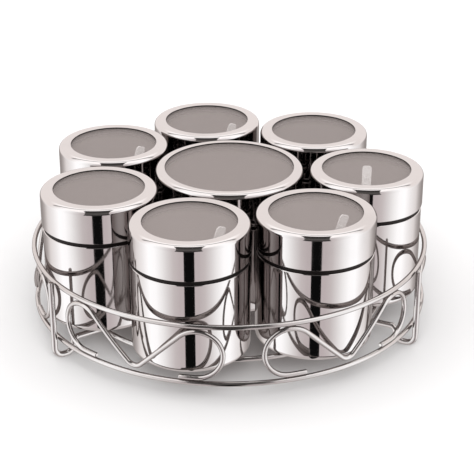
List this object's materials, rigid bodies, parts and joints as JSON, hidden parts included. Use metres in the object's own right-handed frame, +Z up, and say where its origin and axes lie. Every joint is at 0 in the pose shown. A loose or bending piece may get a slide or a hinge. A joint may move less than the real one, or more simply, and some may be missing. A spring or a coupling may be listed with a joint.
{
  "type": "spice jar set in a wire stand",
  "caption": "Seven round steel jars around a larger one, each with a windowed press-on lid, standing in a round scrolled wire stand.",
  "frame": {"origin": "middle of the base, on the surface that the three feet stand on", "axes": "+Z up, -Y towards the front, +X to the right as seen from the front"},
  "size_m": [0.2466, 0.2501, 0.096],
  "materials": {
    "jar_steel": "mirror-polished stainless steel",
    "lid_steel": "mirror-polished stainless steel",
    "wire_steel": "bright bent stainless wire",
    "spoon_steel": "polished pressed stainless steel",
    "window_plastic": "clear, lightly smoked, glossy",
    "retainer_plastic": "satin"
  },
  "bodies": {
    "stand": {"stand_top_ring": "wire_steel", "stand_bottom_ring": "wire_steel", "jar_rest_ring": "wire_steel", "centre_rest_ring": "wire_steel", "stand_leg_left": "wire_steel", "stand_leg_right": "wire_steel", "stand_leg_back": "wire_steel", "scroll_wire_front_left": "wire_steel", "scroll_wire_front_right": "wire_steel", "scroll_wire_right": "wire_steel", "scroll_wire_back_right": "wire_steel", "scroll_wire_back_left": "wire_steel", "scroll_wire_left": "wire_steel"},
    "front_right_jar": {"front_right_jar_cup": "jar_steel"},
    "front_right_lid": {"front_right_lid_shell": "lid_steel", "front_right_lid_window": "window_plastic", "front_right_window_retainer": "retainer_plastic"},
    "front_right_spoon": {"front_right_spoon": "spoon_steel"},
    "right_jar": {"right_jar_cup": "jar_steel"},
    "right_lid": {"right_lid_shell": "lid_steel", "right_lid_window": "window_plastic", "right_window_retainer": "retainer_plastic"},
    "right_spoon": {"right_spoon": "spoon_steel"},
    "back_right_jar": {"back_right_jar_cup": "jar_steel"},
    "back_right_lid": {"back_right_lid_shell": "lid_steel", "back_right_lid_window": "window_plastic", "back_right_window_retainer": "retainer_plastic"},
    "back_jar": {"back_jar_cup": "jar_steel"},
    "back_lid": {"back_lid_shell": "lid_steel", "back_lid_window": "window_plastic", "back_window_retainer": "retainer_plastic"},
    "back_spoon": {"back_spoon": "spoon_steel"},
    "back_left_jar": {"back_left_jar_cup": "jar_steel"},
    "back_left_lid": {"back_left_lid_shell": "lid_steel", "back_left_lid_window": "window_plastic", "back_left_window_retainer": "retainer_plastic"},
    "back_left_spoon": {"back_left_spoon": "spoon_steel"},
    "left_jar": {"left_jar_cup": "jar_steel"},
    "left_lid": {"left_lid_shell": "lid_steel", "left_lid_window": "window_plastic", "left_window_retainer": "retainer_plastic"},
    "front_left_jar": {"front_left_jar_cup": "jar_steel"},
    "front_left_lid": {"front_left_lid_shell": "lid_steel", "front_left_lid_window": "window_plastic", "front_left_window_retainer": "retainer_plastic"},
    "front_left_spoon": {"front_left_spoon": "spoon_steel"},
    "centre_jar": {"centre_jar_cup": "jar_steel"},
    "centre_lid": {"centre_lid_shell": "lid_steel", "centre_lid_window": "window_plastic", "centre_window_retainer": "retainer_plastic"}
  },
  "joints": [
    {"name": "front_right_jar_lift", "type": "slide", "parent": "stand", "child": "front_right_jar", "axis": [0, 0, 1], "range_m": [0, 0.06]},
    {"name": "front_right_lid_lift", "type": "slide", "parent": "front_right_jar", "child": "front_right_lid", "axis": [0, 0, 1], "range_m": [0, 0.03]},
    {"name": "front_right_spoon_swivel", "type": "hinge", "parent": "front_right_jar", "child": "front_right_spoon", "pos_m": [0.0498, -0.06956, 0.05], "axis": [0, 0, 1], "continuous": true},
    {"name": "right_jar_lift", "type": "slide", "parent": "stand", "child": "right_jar", "axis": [0, 0, 1], "range_m": [0, 0.06]},
    {"name": "right_lid_lift", "type": "slide", "parent": "right_jar", "child": "right_lid", "axis": [0, 0, 1], "range_m": [0, 0.03]},
    {"name": "right_spoon_swivel", "type": "hinge", "parent": "right_jar", "child": "right_spoon", "pos_m": [0.08406, -0.0051, 0.05], "axis": [0, 0, 1], "continuous": true},
    {"name": "back_right_jar_lift", "type": "slide", "parent": "stand", "child": "back_right_jar", "axis": [0, 0, 1], "range_m": [0, 0.06]},
    {"name": "back_right_lid_lift", "type": "slide", "parent": "back_right_jar", "child": "back_right_lid", "axis": [0, 0, 1], "range_m": [0, 0.03]},
    {"name": "back_jar_lift", "type": "slide", "parent": "stand", "child": "back_jar", "axis": [0, 0, 1], "range_m": [0, 0.06]},
    {"name": "back_lid_lift", "type": "slide", "parent": "back_jar", "child": "back_lid", "axis": [0, 0, 1], "range_m": [0, 0.03]},
    {"name": "back_spoon_swivel", "type": "hinge", "parent": "back_jar", "child": "back_spoon", "pos_m": [-0.01545, 0.08093, 0.05], "axis": [0, 0, 1], "continuous": true},
    {"name": "back_left_jar_lift", "type": "slide", "parent": "stand", "child": "back_left_jar", "axis": [0, 0, 1], "range_m": [0, 0.06]},
    {"name": "back_left_lid_lift", "type": "slide", "parent": "back_left_jar", "child": "back_left_lid", "axis": [0, 0, 1], "range_m": [0, 0.03]},
    {"name": "back_left_spoon_swivel", "type": "hinge", "parent": "back_left_jar", "child": "back_left_spoon", "pos_m": [-0.07429, 0.03771, 0.05], "axis": [0, 0, 1], "continuous": true},
    {"name": "left_jar_lift", "type": "slide", "parent": "stand", "child": "left_jar", "axis": [0, 0, 1], "range_m": [0, 0.06]},
    {"name": "left_lid_lift", "type": "slide", "parent": "left_jar", "child": "left_lid", "axis": [0, 0, 1], "range_m": [0, 0.03]},
    {"name": "front_left_jar_lift", "type": "slide", "parent": "stand", "child": "front_left_jar", "axis": [0, 0, 1], "range_m": [0, 0.06]},
    {"name": "front_left_lid_lift", "type": "slide", "parent": "front_left_jar", "child": "front_left_lid", "axis": [0, 0, 1], "range_m": [0, 0.03]},
    {"name": "front_left_spoon_swivel", "type": "hinge", "parent": "front_left_jar", "child": "front_left_spoon", "pos_m": [-0.02196, -0.08297, 0.05], "axis": [0, 0, 1], "continuous": true},
    {"name": "centre_jar_lift", "type": "slide", "parent": "stand", "child": "centre_jar", "axis": [0, 0, 1], "range_m": [0, 0.06]},
    {"name": "centre_lid_lift", "type": "slide", "parent": "centre_jar", "child": "centre_lid", "axis": [0, 0, 1], "range_m": [0, 0.03]}
  ]
}
